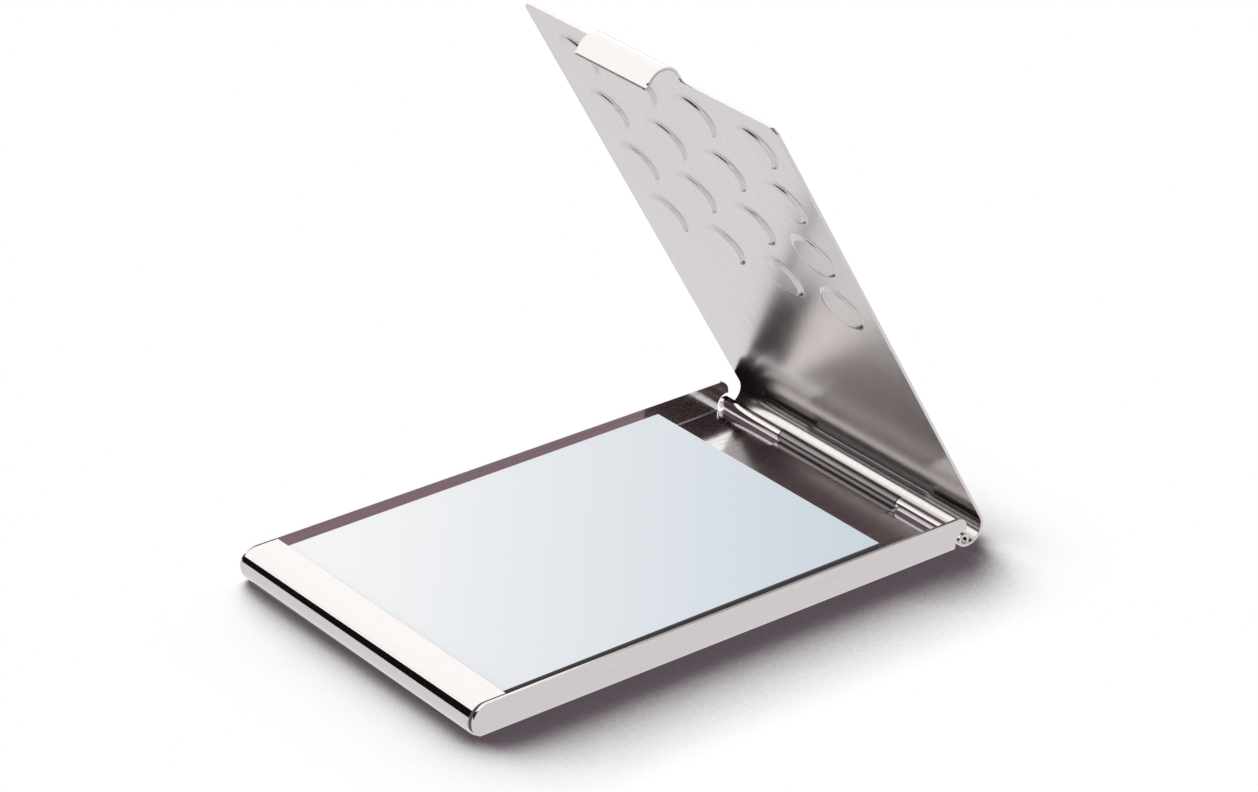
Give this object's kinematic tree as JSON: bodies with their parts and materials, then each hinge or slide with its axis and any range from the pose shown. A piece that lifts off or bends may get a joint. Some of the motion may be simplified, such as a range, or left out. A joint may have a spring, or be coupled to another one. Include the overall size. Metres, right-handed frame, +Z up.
{
  "type": "business card case",
  "caption": "Flat folded-metal business card case: an open tray with a rolled front lip and a hinged lid with embossed dimples and a spring clip.",
  "frame": {"origin": "on the underside of the tray's floor, midway between the side plates and midway along the closed case", "axes": "+X across the width, +Y from the front roll to the hinge, +Z up out of the tray"},
  "size_m": [0.06, 0.107, 0.0904],
  "materials": {
    "tray_steel": "mirror polished outside, fine brushed lengthwise inside",
    "lid_steel": "polished outside and on the clip, fine brushed inside",
    "pin_steel": "drawn wire, bright ends"
  },
  "bodies": {
    "tray_body": {"tray": "tray_steel", "hinge_pin": "pin_steel"},
    "lid_body": {"lid": "lid_steel"}
  },
  "joints": [
    {"name": "lid_hinge", "type": "hinge", "parent": "tray_body", "child": "lid_body", "pos_m": [0, 0.05035, 0.0014], "axis": [-1, 0, 0], "range_deg": [-58, 57]}
  ]
}
